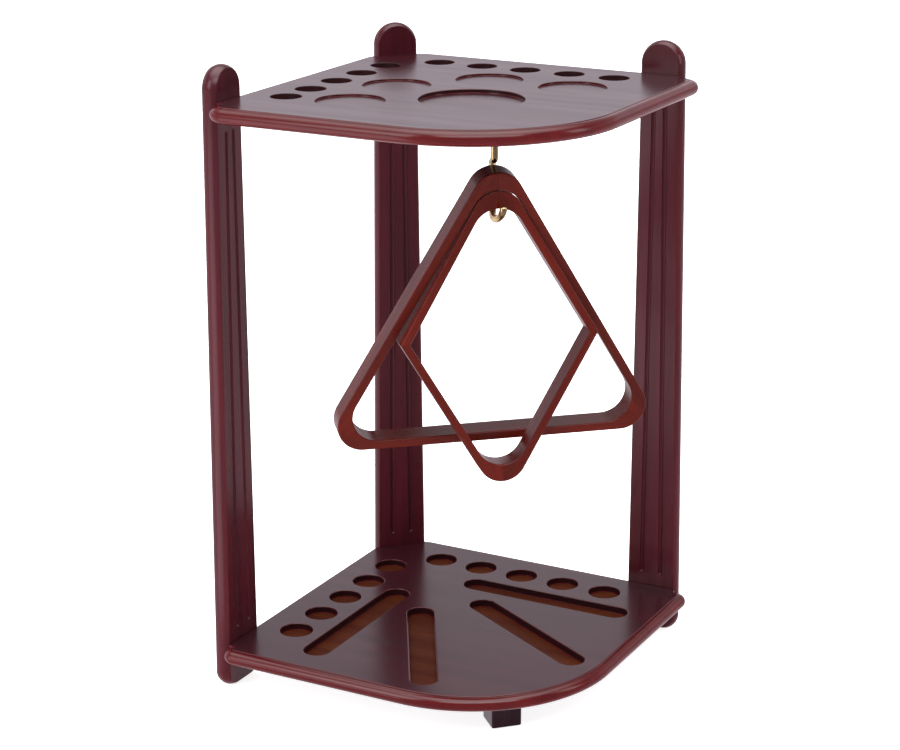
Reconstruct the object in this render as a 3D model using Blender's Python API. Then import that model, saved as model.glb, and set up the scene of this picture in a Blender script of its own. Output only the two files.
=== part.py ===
"""Corner floor rack for cues and balls: two shelves on three tapered posts and a foot block, with a brass
hook under the top shelf that carries a ball triangle and a ball diamond. Metres, +Z up, +Y to the wall corner."""
import math

import bmesh
import bpy
from mathutils import Matrix, Vector

# Whole rack. Heights are above the floor; plan positions (u, v) run along the two walls from the wall corner.
LEG = 0.0532  # floor to the top face of the bottom shelf
SHELF_RISE = 0.5887  # bottom shelf top face to top shelf top face
BASE_Y = 0.2434  # moves the wall corner so that the bounding box is centred
GAP = 0.0003

# Shelves
SHELF_T = 0.017
SHELF_SIDE = 0.383
FRONT_R = 0.165
SIDE_R_TOP = 0.022
SIDE_R_BOTTOM = 0.013
BACK_R = 0.018
BACK_FLAT = 0.031
NOSE = 0.0085  # depth of the half-round front edge
QUIRK = 0.0007  # small step between the flat top and the half-round edge
CUE_ROW = 0.044
CUE_FIRST = 0.0875
CUE_PITCH = 0.0525
CUE_COUNT = 5
CUE_SHORT = 0.0045
CUE_R = 0.01625
BUTT_R = 0.018
BUTT_DEPTH = 0.007
CUP_R = 0.0359
CUP_DEPTH = 0.0024
CUP_SPOTS = ((0.184, 0.112), (0.2815, 0.113))
BOWL_R = 0.0544
BOWL_DEPTH = 0.0042
BOWL_SPOT = 0.218
LIP = 0.0008
SLOT_LENGTH = 0.202
SLOT_WIDTH = 0.030
SLOT_DEPTH = 0.008

# Posts
POST_T = 0.018
POST_W_TOP = 0.0432  # width of the flat face at the top shelf
POST_W_BOTTOM = 0.0545  # and at the bottom shelf
POST_BULGE = 0.003
POST_CROWN = 0.035  # arch above the top shelf
POST_FOOT_R = 0.018
POST_U_TOP = 0.3316
POST_U_BOTTOM = 0.3352
FLUTE_R = 0.0027
FLUTE_DEPTH = 0.0023
FLUTE_TOP = -0.032  # from the top face of the top shelf
FLUTE_BOTTOM = 0.0135  # from the top face of the bottom shelf
FLUTE_X_TOP = 0.0065
FLUTE_X_BOTTOM = 0.0113

# Foot block
FOOT_SIDE = 0.0325
FOOT_FRONT = 0.433  # front face, measured from the wall corner
FOOT_R = 0.0025

# Hook
HOOK_Y = 0.384
HOOK_Z = 0.5109  # centre of the bend, above the bottom shelf
HOOK_R = 0.0288
HOOK_ROD = 0.0038
HOOK_BACK = 0.0305  # reach of the bend's back half
HOOK_TOP = 0.0303  # height of its upper half
HOOK_BEND = 0.0045
HOOK_TIP = -29.0
HOOK_YAW_BACK = -12.0  # the bend's back half, turned about Z
HOOK_YAW_TIP = 3.0  # its front half: the bend is twisted a little
HOOK_IN = 0.012  # length screwed into the shelf
HANG_YAW = -4.65  # triangle and diamond hang turned by this much about Z

# Triangle and diamond
RAIL_DEPTH = 0.0271
RAIL_ARRIS = 0.0016
MITRE_GAP = 0.0002
TRI_SIDE = 0.3325
TRI_WIDTH = 0.0093
TRI_INNER_R = 0.0265
TRI_OUTER_R = 0.0268
TRI_APEX = 0.0305  # inner sharp apex above the centre of the bend
TRI_SHIFT = 0.0006  # of the apex, along the swing axis
TRI_LEAN = 5.75
TRI_ROLL = 0.55
DIA_SIDE = 0.185
DIA_WIDTH = 0.0084
DIA_INNER_R = 0.0273
DIA_OUTER_R = 0.0257
DIA_APEX = 0.0107
DIA_SHIFT = 0.0009
DIA_LEAN = -1.7
DIA_ROLL = 0.77

# Screws through the posts into the shelves
SCREW_R = 0.0019
SCREW_HEAD_R = 0.0040
SCREW_LENGTH = 0.034
SCREW_SINK = 0.0005
SCREW_SPREAD = 0.012

COLOURS = {
    "shelf": (0.085, 0.018, 0.016),
    "post": (0.075, 0.014, 0.015),
    "foot": (0.020, 0.006, 0.008),
    "rail": (0.110, 0.022, 0.016),
    "brass": (0.80, 0.56, 0.24),
    "screw": (0.55, 0.44, 0.24),
}


def clear_scene():
    for item in list(bpy.data.objects):
        bpy.data.objects.remove(item, do_unlink=True)


def plan(u, v):
    return Vector(((u - v) / math.sqrt(2), BASE_Y - (u + v) / math.sqrt(2)))


def material(name, kind):
    made = bpy.data.materials.new(name)
    made.use_nodes = True
    shader = made.node_tree.nodes["Principled BSDF"]
    shader.inputs["Base Color"].default_value = (*COLOURS[kind], 1.0)
    shader.inputs["Metallic"].default_value = 1.0 if kind in ("brass", "screw") else 0.0
    shader.inputs["Roughness"].default_value = 0.2 if kind == "brass" else 0.3
    return made


def new_object(name, built, kind):
    bmesh.ops.recalc_face_normals(built, faces=built.faces)
    mesh = bpy.data.meshes.new(name)
    built.to_mesh(mesh)
    built.free()
    made = bpy.data.objects.new(name, mesh)
    bpy.context.scene.collection.objects.link(made)
    if kind:
        mesh.materials.append(material(name, kind))
    return made


def add_rings(built, rings):
    """Joins equal closed rings into one capped body."""
    loops = [[built.verts.new(point) for point in ring] for ring in rings]
    count = len(loops[0])
    for low, high in zip(loops, loops[1:]):
        for i in range(count):
            j = (i + 1) % count
            built.faces.new((low[i], low[j], high[j], high[i]))
    built.faces.new(loops[0])
    built.faces.new(loops[-1])


def baked(made, cutter, angle=32.0):
    """Cuts the object with the cutter, keeps the result as its mesh and marks the sharp edges."""
    if cutter:
        cut = made.modifiers.new("cut", "BOOLEAN")
        cut.operation = "DIFFERENCE"
        cut.solver = "EXACT"
        cut.object = cutter
        bpy.context.view_layer.update()
        seen = made.evaluated_get(bpy.context.evaluated_depsgraph_get())
        mesh = bpy.data.meshes.new_from_object(seen)
        made.modifiers.clear()
        made.data = mesh
        bpy.data.objects.remove(cutter, do_unlink=True)
    for face in made.data.polygons:
        face.use_smooth = True
    made.data.set_sharp_from_angle(angle=math.radians(angle))
    return made


def fillet(corners, radii, counts):
    """Points and outward normals round a closed counter-clockwise outline with rounded corners."""
    points = []
    total = len(corners)
    for i in range(total):
        corner = corners[i]
        back = (corners[i - 1] - corner).normalized()
        ahead = (corners[(i + 1) % total] - corner).normalized()
        half = back.angle(ahead) / 2
        centre = corner + (back + ahead).normalized() * (radii[i] / math.sin(half))
        start = corner + back * (radii[i] / math.tan(half)) - centre
        turn = math.pi - 2 * half
        first = math.atan2(start.y, start.x)
        for k in range(counts[i] + 1):
            angle = first + turn * k / counts[i]
            normal = Vector((math.cos(angle), math.sin(angle)))
            points.append((centre + normal * radii[i], normal))
    return points


# ---------------------------------------------------------------- shelves


def shelf_outline(nose_end, side_r):
    """(point, normal, share of half-round edge) round the shelf, counter-clockwise from above."""
    right = plan(BACK_FLAT * math.sqrt(2), 0)
    left = plan(0, BACK_FLAT * math.sqrt(2))
    corners = [right, left, plan(0, SHELF_SIDE), plan(SHELF_SIDE, SHELF_SIDE), plan(SHELF_SIDE, 0)]
    rounded = fillet(corners, [BACK_R, BACK_R, side_r, FRONT_R, side_r], [3, 3, 6, 18, 6])
    back, front = rounded[:8], rounded[8:]
    left_out = Vector((-1, 1)).normalized()
    right_out = Vector((1, 1)).normalized()
    outline = [(point, normal, 0.0) for point, normal in back]
    outline.append((plan(0, nose_end - 0.003), left_out, 0.0))
    outline.append((plan(0, nose_end), left_out, 1.0))
    outline.extend((point, normal, 1.0) for point, normal in front)
    outline.append((plan(nose_end, 0), right_out, 1.0))
    outline.append((plan(nose_end - 0.003, 0), right_out, 0.0))
    return outline


def edge_profile():
    """(inset, height) pairs down a half-round edge and down a plain edge, from the top face to the bottom."""
    middle = -SHELF_T / 2
    rise = SHELF_T / 2 - QUIRK
    nosed = [(NOSE + 0.0004, 0.0), (NOSE, -QUIRK)]
    for step in range(1, 8):
        angle = math.radians(90 - 22.5 * step)
        nosed.append((NOSE * (1 - math.cos(angle)), middle + rise * math.sin(angle)))
    nosed.extend([(NOSE, -SHELF_T + QUIRK), (NOSE + 0.0004, -SHELF_T)])
    upper = [(0.0012, 0.0), (0.0006, -0.00015), (0.00015, -0.0006), (0.0, -0.0012), (0.0, -0.005)]
    lower = [(inset, -SHELF_T - height) for inset, height in reversed(upper)]
    return list(zip(nosed, upper + [(0.0, middle)] + lower))


def shelf(name, top, nose_end, side_r):
    outline = shelf_outline(nose_end, side_r)
    built = bmesh.new()
    rings = []
    for nosed, plain in edge_profile():
        ring = []
        for point, normal, share in outline:
            inset, height = nosed if share else plain
            spot = point - normal * inset
            ring.append(Vector((spot.x, spot.y, top + height)))
        rings.append(ring)
    add_rings(built, rings)
    return new_object(name, built, "shelf")


def add_pocket(built, ring_of, top, depth):
    """A cutter from above the top face down to a flat floor, with a small lip at the mouth."""
    add_rings(built, [ring_of(LIP, top + 0.002), ring_of(LIP, top), ring_of(0.0, top - LIP), ring_of(0.0, top - depth)])


def add_through(built, ring_of, top):
    low = top - SHELF_T
    levels = ((LIP, top + 0.002), (LIP, top), (0.0, top - LIP), (0.0, low + LIP), (LIP, low), (LIP, low - 0.002))
    add_rings(built, [ring_of(grow, height) for grow, height in levels])


def round_ring(centre, radius, count):
    def ring(grow, height):
        points = []
        for i in range(count):
            angle = 2 * math.pi * (i + 0.5) / count
            reach = radius + grow
            points.append(Vector((centre.x + reach * math.cos(angle), centre.y + reach * math.sin(angle), height)))
        return points

    return ring


def slot_ring(centre, direction, length, width, count):
    def ring(grow, height):
        points = []
        side = Vector((-direction.y, direction.x))
        reach = width / 2 + grow
        for sign in (1, -1):
            end = centre + direction * (sign * (length - width) / 2)
            for i in range(count + 1):
                angle = math.pi * i / count - math.pi / 2
                spot = end + (direction * math.cos(angle) + side * math.sin(angle)) * (sign * reach)
                points.append(Vector((spot.x, spot.y, height)))
        return points

    return ring


def cue_spots(left_end=0.0):
    """Plan positions of both cue rows. left_end moves the outermost hole of the left row towards the corner."""
    along = [CUE_FIRST + CUE_PITCH * i for i in range(CUE_COUNT)]
    left = along[:-1] + [along[-1] - left_end]
    return [plan(u, CUE_ROW) for u in along] + [plan(CUE_ROW, v) for v in left]


def slot_lines():
    """Centre and direction of each ball slot."""
    lines = []
    tilt = math.radians(15)
    for sign in (1, -1):
        outer = plan(0.245, 0.091) if sign > 0 else plan(0.091, 0.245)
        lines.append((outer, Vector((sign, -1)).normalized()))
        inner = plan(0.267, 0.184) if sign > 0 else plan(0.184, 0.267)
        lines.append((inner, Vector((sign * math.sin(tilt), -math.cos(tilt)))))
    return lines


def screw_frames(post):
    """World matrix of each screw of a post: origin at the post's outer face, +Z out of that face."""
    frames = []
    for level in (LEG + SHELF_RISE, LEG):
        for side in (-1, 1):
            local = Vector((post_centre(post, level - LEG) + side * SCREW_SPREAD, POST_T, level - SHELF_T / 2))
            outward = Matrix.Rotation(math.radians(-90), 4, "X")
            frames.append(post_matrix(post) @ Matrix.Translation(local) @ outward)
    return frames


def add_lathe(built, frame, profile, count):
    rings = []
    for radius, height in profile:
        ring = []
        for i in range(count):
            angle = 2 * math.pi * (i + 0.5) / count
            ring.append(frame @ Vector((radius * math.cos(angle), radius * math.sin(angle), height)))
        rings.append(ring)
    add_rings(built, rings)


def pilot_cutters(built, height):
    """Holes in the shelf edge for the screws of all three posts at this level."""
    for post in POSTS:
        for frame in screw_frames(post):
            if abs(frame.translation.z - height) < 0.01:
                add_lathe(built, frame, [(SCREW_R + GAP, -POST_T + 0.003), (SCREW_R + GAP, -SCREW_LENGTH - 0.001)], 8)


def build_shelves():
    top = LEG + SHELF_RISE
    upper = shelf("top_shelf", top, 0.3568, SIDE_R_TOP)
    built = bmesh.new()
    for spot in cue_spots(CUE_SHORT):
        add_through(built, round_ring(spot, CUE_R, 24), top)
    for u, v in CUP_SPOTS:
        add_pocket(built, round_ring(plan(u, v), CUP_R, 36), top, CUP_DEPTH)
        add_pocket(built, round_ring(plan(v, u), CUP_R, 36), top, CUP_DEPTH)
    add_pocket(built, round_ring(plan(BOWL_SPOT, BOWL_SPOT), BOWL_R, 48), top, BOWL_DEPTH)
    pilot_cutters(built, top - SHELF_T / 2)
    mouth = top - SHELF_T
    hook_hole = Matrix.Translation((0.0, BASE_Y - HOOK_Y, mouth))
    add_lathe(built, hook_hole, [(HOOK_ROD + GAP, -0.002), (HOOK_ROD + GAP, HOOK_IN + GAP)], 12)
    baked(upper, new_object("top_cutter", built, None))

    lower = shelf("bottom_shelf", LEG, 0.3675, SIDE_R_BOTTOM)
    built = bmesh.new()
    for spot in cue_spots():
        add_pocket(built, round_ring(spot, BUTT_R, 24), LEG, BUTT_DEPTH)
    for centre, direction in slot_lines():
        add_pocket(built, slot_ring(centre, direction, SLOT_LENGTH, SLOT_WIDTH, 10), LEG, SLOT_DEPTH)
    pilot_cutters(built, LEG - SHELF_T / 2)
    baked(lower, new_object("bottom_cutter", built, None))


# ---------------------------------------------------------------- posts

POSTS = ("left_post", "right_post", "back_post")


def post_matrix(post):
    """Post frame: X across the face, Y from the face on the shelf side out to the far face, Z up."""
    if post == "back_post":
        return Matrix.Translation((0.0, BASE_Y - BACK_FLAT + GAP, 0.0))
    side = 1 if post == "right_post" else -1
    corner = Matrix.Translation((0.0, BASE_Y, 0.0))
    turn = Matrix.Rotation(math.radians(-45 * side), 4, "Z")
    return corner @ turn @ Matrix.Translation((0.0, GAP, 0.0))


def post_centre(post, rise):
    """Distance of the post's centre line from the post frame's Z axis, at this height over the bottom shelf."""
    if post == "back_post":
        return 0.0
    side = 1 if post == "right_post" else -1
    return side * (POST_U_BOTTOM + (POST_U_TOP - POST_U_BOTTOM) * rise / SHELF_RISE)


def post_half(rise):
    return POST_BULGE + (POST_W_BOTTOM + (POST_W_TOP - POST_W_BOTTOM) * rise / SHELF_RISE) / 2


def post_outline(post):
    """(point, normal) round the widest outline of the post, in its face plane."""
    top = SHELF_RISE + POST_CROWN
    arch = post_half(top - 0.024)
    low = post_half(-LEG)
    spots = []
    spring = top - arch
    for k in range(13):
        angle = math.pi * k / 12
        normal = Vector((math.cos(angle), math.sin(angle)))
        spots.append((Vector((post_centre(post, spring), spring)) + normal * arch, normal))
    for side in (-1, 1):
        for k in range(6):
            share = k / 5 if side < 0 else 1 - k / 5
            angle = math.pi / 2 * share
            normal = Vector((side * math.cos(angle), -math.sin(angle)))
            centre = Vector((post_centre(post, -LEG) + side * (low - POST_FOOT_R), -LEG + POST_FOOT_R))
            spots.append((centre + normal * POST_FOOT_R, normal))
    return spots


def build_post(post):
    outline = post_outline(post)
    frame = post_matrix(post) @ Matrix.Translation((0.0, 0.0, LEG))
    built = bmesh.new()
    rings = []
    for step in range(-4, 5):
        share = step / 4
        inset = POST_BULGE * share * share
        depth = POST_T * (share + 1) / 2
        ring = []
        for point, normal in outline:
            spot = point - normal * inset
            ring.append(frame @ Vector((spot.x, depth, spot.y)))
        rings.append(ring)
    add_rings(built, rings)
    made = new_object(post, built, "post")

    built = bmesh.new()
    for side in (-1, 1):
        low = Vector((post_centre(post, 0.0) + side * FLUTE_X_BOTTOM, FLUTE_DEPTH - FLUTE_R, FLUTE_BOTTOM))
        high = Vector((post_centre(post, SHELF_RISE) + side * FLUTE_X_TOP, FLUTE_DEPTH - FLUTE_R,
                       SHELF_RISE + FLUTE_TOP))
        run = (high - low).normalized()
        turn = Vector((0, 0, 1)).rotation_difference(run).to_matrix().to_4x4()
        placed = frame @ Matrix.Translation(low) @ turn
        length = (high - low).length
        profile = []
        for k in range(1, 4):
            angle = math.radians(90 - 30 * k)
            profile.append((FLUTE_R * math.cos(angle), FLUTE_R - FLUTE_R * math.sin(angle)))
        ends = [(radius, length - height) for radius, height in reversed(profile)]
        add_lathe(built, placed, profile + ends, 12)
    sink_r = SCREW_HEAD_R + SCREW_SINK + 1.5 * GAP + 0.0003
    hole_r = SCREW_R + GAP
    sink = [(sink_r + 0.001, 0.001), (hole_r, hole_r - sink_r), (hole_r, -POST_T - 0.001)]
    for screw in screw_frames(post):
        add_lathe(built, screw, sink, 12)
    baked(made, new_object(post + "_cutter", built, None))


# ---------------------------------------------------------------- screws, foot and hook


def build_screws():
    for post in POSTS:
        for number, frame in enumerate(screw_frames(post), 1):
            built = bmesh.new()
            cone = SCREW_HEAD_R - SCREW_R
            add_lathe(built, frame, [(SCREW_HEAD_R, -SCREW_SINK), (SCREW_HEAD_R, -SCREW_SINK - 0.0003),
                                     (SCREW_R, -SCREW_SINK - 0.0003 - cone), (SCREW_R, -SCREW_LENGTH + 0.004),
                                     (0.0005, -SCREW_LENGTH)], 12)
            made = new_object("{}_screw_{}".format(post, number), built, "screw")
            built = bmesh.new()
            rings = []
            for height, arm, half in ((0.0005, 0.0021, 0.0005), (-0.0017, 0.0012, 0.0003)):
                corner = ((arm, half), (half, half), (half, arm))
                spots = []
                for quarter in range(4):
                    turn = Matrix.Rotation(math.radians(90 * quarter), 4, "Z")
                    spots.extend(frame @ turn @ Vector((x, y, height)) for x, y in corner)
                rings.append(spots)
            add_rings(built, rings)
            baked(made, new_object("recess_cutter", built, None))


def build_foot():
    half = FOOT_SIDE / 2
    centre = Vector((0.0, BASE_Y - FOOT_FRONT + half))
    corners = [centre + Vector((x * half, y * half)) for x, y in ((1, -1), (1, 1), (-1, 1), (-1, -1))]
    outline = fillet(corners, [FOOT_R] * 4, [3] * 4)
    built = bmesh.new()
    rings = []
    for inset, height in ((0.0, LEG - SHELF_T - GAP), (0.0, 0.0015), (0.0005, 0.0005), (0.0015, 0.0)):
        rings.append([Vector((*(point - normal * inset), height)) for point, normal in outline])
    add_rings(built, rings)
    baked(new_object("front_foot", built, "foot"), None)


def hook_path():
    """Centre line of the hook: (turn about Z in degrees, reach to the back, height over the bend's centre)."""
    mouth = SHELF_RISE - SHELF_T - HOOK_Z
    rise = math.sqrt((HOOK_R + HOOK_BEND) ** 2 - HOOK_BEND ** 2)
    back = HOOK_YAW_BACK
    curve = []
    meet = math.atan2(rise, HOOK_BEND)
    for k in range(5):
        angle = math.pi + meet * k / 4
        curve.append((back, HOOK_BEND + HOOK_BEND * math.cos(angle), rise + HOOK_BEND * math.sin(angle)))
    for k in range(1, 25):
        angle = meet + (-math.pi - math.radians(HOOK_TIP) - meet) * k / 24
        share = min(max((-50 - math.degrees(angle)) / 80, 0.0), 1.0)
        yaw = back + (HOOK_YAW_TIP - back) * share * share * (3 - 2 * share)
        curve.append((yaw, HOOK_R * math.cos(angle), HOOK_R * math.sin(angle)))
    path = [(back, 0.0, mouth + HOOK_IN), (back, 0.0, mouth), (back, 0.0, (mouth + rise) / 2)]
    for yaw, reach, height in curve:
        if reach > 0:
            reach *= HOOK_BACK / HOOK_R
        if height > 0:
            height *= HOOK_TOP / HOOK_R
        path.append((yaw, reach, height))
    return path


def hang_matrix(lean, roll, yaw=HANG_YAW):
    """Frame at the bend's centre: X along the swing axis, Z up."""
    place = Matrix.Translation((0.0, BASE_Y - HOOK_Y, LEG + HOOK_Z))
    turn = Matrix.Rotation(math.radians(yaw), 4, "Z")
    tip = Matrix.Rotation(math.radians(lean), 4, "X")
    spin = Matrix.Rotation(math.radians(-roll), 4, "Y")
    return place @ turn @ tip @ spin


def build_hook():
    frame = hang_matrix(0.0, 0.0, 0.0)
    spots = []
    sides = []
    for yaw, reach, height in hook_path():
        turn = math.radians(yaw)
        spots.append(Vector((-math.sin(turn) * reach, math.cos(turn) * reach, height)))
        sides.append(Vector((math.cos(turn), math.sin(turn), 0.0)))
    built = bmesh.new()
    rings = []
    count = 12
    for i, spot in enumerate(spots):
        run = (spots[min(i + 1, len(spots) - 1)] - spots[max(i - 1, 0)]).normalized()
        side = (sides[i] - run * sides[i].dot(run)).normalized()
        across = side.cross(run)
        rings.append((spot, side, across, HOOK_ROD))
        if i == len(spots) - 1:
            for degrees in (35, 65):
                angle = math.radians(degrees)
                rings.append((spot + run * (HOOK_ROD * math.sin(angle)), side, across, HOOK_ROD * math.cos(angle)))
    loops = []
    for spot, side, across, radius in rings:
        loop = []
        for k in range(count):
            angle = 2 * math.pi * k / count
            loop.append(frame @ (spot + (side * math.cos(angle) + across * math.sin(angle)) * radius))
        loops.append(loop)
    add_rings(built, loops)
    made = new_object("hook", built, "brass")
    baked(made, None, 50.0)


# ---------------------------------------------------------------- triangle and diamond


def corner_run(apex, axis, side, width, inner_r, outer_r, half, count):
    """Paired inner and outer points from the mitre plane at a rounded corner out to its straight rail.

    apex is the inner sharp corner, axis points from it into the frame, side is the rail's direction across."""
    outer_apex = apex - axis * (width / math.sin(half))
    inner_centre = apex + axis * (inner_r / math.sin(half))
    outer_centre = outer_apex + axis * (outer_r / math.sin(half))
    across = Vector((-axis.y, axis.x))
    if across.dot(side) < 0:
        across = -across
    pairs = []
    for k in range(count + 1):
        angle = (math.pi / 2 - half) * k / count
        normal = -axis * math.cos(angle) + across * math.sin(angle)
        pairs.append((inner_centre + normal * inner_r, outer_centre + normal * outer_r))
    shift = across * (MITRE_GAP / 2)
    pairs[0] = (pairs[0][0] + shift, pairs[0][1] + shift)
    return pairs


def sharp_end(apex, axis, side, width, half):
    outer_apex = apex - axis * (width / math.sin(half))
    across = Vector((-axis.y, axis.x))
    if across.dot(side) < 0:
        across = -across
    shift = across * (MITRE_GAP / 2)
    return (apex + shift, outer_apex + shift)


def build_rail(name, pairs, frame, pivot):
    """Sweeps the rounded section along the paired points, in the frame's X-Z plane."""
    half = RAIL_DEPTH / 2
    built = bmesh.new()
    rings = []
    for inner, outer in pairs:
        across = (outer - inner)
        width = across.length
        across = across / width
        section = []
        for x, y, first in ((width, half, 0), (0.0, half, 90), (0.0, -half, 180), (width, -half, 270)):
            cx = x - RAIL_ARRIS if x else RAIL_ARRIS
            cy = y - math.copysign(RAIL_ARRIS, y)
            for k in range(3):
                angle = math.radians(first + 45 * k)
                section.append((cx + RAIL_ARRIS * math.cos(angle), cy + RAIL_ARRIS * math.sin(angle)))
        ring = []
        for x, y in section:
            spot = inner + across * x
            ring.append(pivot.inverted() @ frame @ Vector((spot.x, y, spot.y)))
        rings.append(ring)
    add_rings(built, rings)
    made = new_object(name, built, "rail")
    made.matrix_world = pivot
    return baked(made, None)


def build_triangle():
    frame = hang_matrix(TRI_LEAN, TRI_ROLL)
    pivot = hang_matrix(0.0, 0.0)
    rise = TRI_SIDE * math.sqrt(3) / 2
    apexes = [Vector((TRI_SHIFT + x * TRI_SIDE / 2, TRI_APEX - drop)) for x, drop in ((0, 0.0), (-1, rise), (1, rise))]
    middle = (apexes[0] + apexes[1] + apexes[2]) / 3
    half = math.radians(30)
    for name, first, last in (("triangle_rail_left", 0, 1), ("triangle_rail_bottom", 1, 2), ("triangle_rail_right", 2, 0)):
        pairs = []
        for start, end in ((first, last), (last, first)):
            axis = (middle - apexes[start]).normalized()
            run = apexes[end] - apexes[start]
            corner = corner_run(apexes[start], axis, run, TRI_WIDTH, TRI_INNER_R, TRI_OUTER_R, half, 7)
            pairs.append(corner)
        build_rail(name, pairs[0] + pairs[1][::-1], frame, pivot)


def build_diamond():
    frame = hang_matrix(DIA_LEAN, DIA_ROLL)
    pivot = hang_matrix(0.0, 0.0)
    reach = DIA_SIDE * math.cos(math.radians(30))
    spread = DIA_SIDE / 2
    centre = Vector((DIA_SHIFT, DIA_APEX - reach))
    for vertical, word in ((1, "upper"), (-1, "lower")):
        for side, hand in ((-1, "left"), (1, "right")):
            apex = centre + Vector((0.0, vertical * reach))
            elbow = centre + Vector((side * spread, 0.0))
            run = elbow - apex
            axis = (centre - apex).normalized()
            pairs = corner_run(apex, axis, run, DIA_WIDTH, DIA_INNER_R, DIA_OUTER_R, math.radians(30), 7)
            pairs.append(sharp_end(elbow, (centre - elbow).normalized(), -run, DIA_WIDTH, math.radians(60)))
            build_rail("diamond_rail_{}_{}".format(word, hand), pairs, frame, pivot)


def main():
    clear_scene()
    build_shelves()
    for post in POSTS:
        build_post(post)
    build_screws()
    build_foot()
    build_hook()
    build_triangle()
    build_diamond()


main()
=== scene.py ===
"""Looks for the corner cue rack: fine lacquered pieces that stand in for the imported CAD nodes."""

import math

import bmesh
import bpy
from mathutils import Matrix, Vector


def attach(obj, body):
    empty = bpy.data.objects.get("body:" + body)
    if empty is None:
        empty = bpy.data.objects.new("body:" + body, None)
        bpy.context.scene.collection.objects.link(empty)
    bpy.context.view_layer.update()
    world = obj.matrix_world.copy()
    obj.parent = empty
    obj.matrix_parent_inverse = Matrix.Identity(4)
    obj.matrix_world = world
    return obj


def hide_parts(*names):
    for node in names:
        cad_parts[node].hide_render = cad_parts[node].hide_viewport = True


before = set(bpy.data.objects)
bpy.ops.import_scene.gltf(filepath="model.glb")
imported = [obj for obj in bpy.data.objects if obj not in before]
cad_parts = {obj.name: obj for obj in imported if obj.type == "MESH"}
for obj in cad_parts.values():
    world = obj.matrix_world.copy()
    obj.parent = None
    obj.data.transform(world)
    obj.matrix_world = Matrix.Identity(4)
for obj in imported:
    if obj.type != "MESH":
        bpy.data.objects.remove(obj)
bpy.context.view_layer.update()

# Lengths are in metres and angles in degrees. The object's own sizes are those of the CAD model.
LEG = 0.0532  # floor to the top face of the bottom shelf
SHELF_RISE = 0.5887  # bottom shelf top face to top shelf top face
BASE_Y = 0.2434  # the wall corner, on the middle plane
GAP = 0.0003  # between touching pieces

# Shelves
SHELF_T = 0.017
SHELF_SIDE = 0.383
FRONT_R = 0.165
SIDE_R_TOP = 0.022
SIDE_R_BOTTOM = 0.013
BACK_R = 0.018
BACK_FLAT = 0.031
NOSE = 0.0085
QUIRK = 0.0007
TOP_NOSE_END = 0.3568  # where the rounded nose ends beside a side post
BOTTOM_NOSE_END = 0.3675
NOSE_FADE = ((-0.003, 0.0), (-0.002, 0.25), (-0.001, 0.75), (0.0, 1.0))  # (reach, share of the nose)
PLAIN_ARRIS = 0.0012

# Holes, cups and slots
CUE_ROW = 0.044
CUE_FIRST = 0.0875
CUE_PITCH = 0.0525
CUE_COUNT = 5
CUE_SHORT = 0.0045
CUE_R = 0.01625
BUTT_R = 0.018
BUTT_DEPTH = 0.007
DRILL_MARK = ((0.0018, 0.0004), (0.0014, 0.0), (0.0003, -0.0013))  # (radius, height)
CUP_R = 0.0359
CUP_DEPTH = 0.0024
CUP_SPOTS = ((0.184, 0.112), (0.2815, 0.113))
BOWL_R = 0.0544
BOWL_DEPTH = 0.0042
BOWL_SPOT = 0.218
LIP = 0.0009
SLOT_LENGTH = 0.202
SLOT_WIDTH = 0.030
SLOT_DEPTH = 0.008
SLOT_TILT = 15.0
OUTER_SLOT = (0.245, 0.091)
INNER_SLOT = (0.267, 0.184)

# Posts and foot
POST_T = 0.018
POST_W_TOP = 0.0432
POST_W_BOTTOM = 0.0545
POST_BULGE = 0.003
POST_CROWN = 0.035
POST_ARCH = 0.024  # the round top is as wide as the post is at this drop below it
POST_ARRIS = 0.0007
POST_FOOT_R = 0.018
POST_U_TOP = 0.3316
POST_U_BOTTOM = 0.3352
FLUTE_R = 0.0027
FLUTE_DEPTH = 0.0023
FLUTE_TOP = -0.032
FLUTE_BOTTOM = 0.0135
FLUTE_X_TOP = 0.0065
FLUTE_X_BOTTOM = 0.0113
FOOT_SIDE = 0.0325
FOOT_FRONT = 0.433
FOOT_R = 0.0025
FOOT_ARRIS = 0.0015

# Hook, triangle and diamond
HOOK_Y = 0.384
HOOK_Z = 0.5109
HOOK_R = 0.0288
HOOK_ROD = 0.0038
HOOK_BACK = 0.0305
HOOK_TOP = 0.0303
HOOK_BEND = 0.0045
HOOK_TIP = -29.0
HOOK_YAW_BACK = -12.0
HOOK_YAW_TIP = 3.0
HOOK_TWIST_START = -50  # the bend turns from the back's yaw to the tip's over this stretch
HOOK_TWIST_SPAN = 80
HOOK_IN = 0.012
HANG_YAW = -4.65
RAIL_DEPTH = 0.0271
RAIL_ARRIS = 0.0016
MITRE_GAP = 0.0001  # half of the CAD model's, for a finer joint line
TRI_SIDE = 0.3325
TRI_WIDTH = 0.0093
TRI_INNER_R = 0.0265
TRI_OUTER_R = 0.0268
TRI_APEX = 0.0305
TRI_SHIFT = 0.0006
TRI_LEAN = 5.75
TRI_ROLL = 0.55
DIA_SIDE = 0.185
DIA_WIDTH = 0.0084
DIA_INNER_R = 0.0273
DIA_OUTER_R = 0.0257
DIA_APEX = 0.0107
DIA_SHIFT = 0.0009
DIA_LEAN = -1.7
DIA_ROLL = 0.77

# Screws
SCREW_R = 0.0019
SCREW_HEAD_R = 0.0040
SCREW_SINK = 0.0005
SCREW_SPREAD = 0.012
POSTS = ("left_post", "right_post", "back_post")

# Camera, from the wall corner at the bottom shelf's top face
CAMERA_SPOT = (-0.6947, -2.5186, 1.0281)
CAMERA_AZIMUTH = 16.891
CAMERA_ELEVATION = 17.543
CAMERA_ROLL = -0.141
CAMERA_LENS = 92.58

# Stage and light
WORLD_FRONT = 0.2
WORLD_BACK = 1.25
WORLD_TOP = 3.8
FLOOR_REACH = 14.0

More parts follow.
